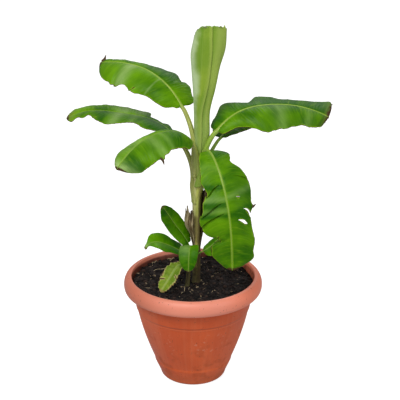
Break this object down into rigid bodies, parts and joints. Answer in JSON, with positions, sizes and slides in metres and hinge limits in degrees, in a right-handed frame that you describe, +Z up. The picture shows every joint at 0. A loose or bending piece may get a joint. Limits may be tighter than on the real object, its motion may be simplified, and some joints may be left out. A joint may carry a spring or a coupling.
{
  "type": "potted banana plant",
  "caption": "Young banana plant with arching leaves, a rolled new leaf and a small side shoot, in a round clay-coloured plastic pot filled with soil.",
  "frame": {"origin": "middle of the pot's flat underside", "axes": "+Z up along the pot, +X to the right and -Y towards the viewer of the picture"},
  "size_m": [0.6392, 0.4353, 0.8975],
  "materials": {
    "clay_plastic": "matt clay-coloured plastic",
    "potting_soil": "rough dark potting soil",
    "stem_green": "smooth olive-green stalk",
    "leaf_green": "ribbed satin leaf",
    "young_green": "waxy pale young leaf",
    "dry_brown": "dry fibrous sheath"
  },
  "bodies": {
    "root": {"pot": "clay_plastic", "soil": "potting_soil", "stem": "stem_green", "stalk_upper_left": "stem_green", "stalk_right": "stem_green", "stalk_left_front": "stem_green", "stalk_left_back": "stem_green", "stalk_right_front": "stem_green", "stalk_right_back": "stem_green", "leaf_upper_left": "leaf_green", "leaf_right": "leaf_green", "leaf_left_front": "leaf_green", "leaf_left_back": "leaf_green", "leaf_right_front": "leaf_green", "leaf_right_back": "leaf_green", "leaf_rolled": "young_green", "husk_left": "dry_brown", "husk_right": "dry_brown", "shoot_stem": "stem_green", "shoot_leaf_upright": "leaf_green", "shoot_leaf_left": "leaf_green", "shoot_leaf_front": "leaf_green", "shoot_leaf_low": "leaf_green", "shoot_leaf_right": "leaf_green"}
  },
  "joints": []
}
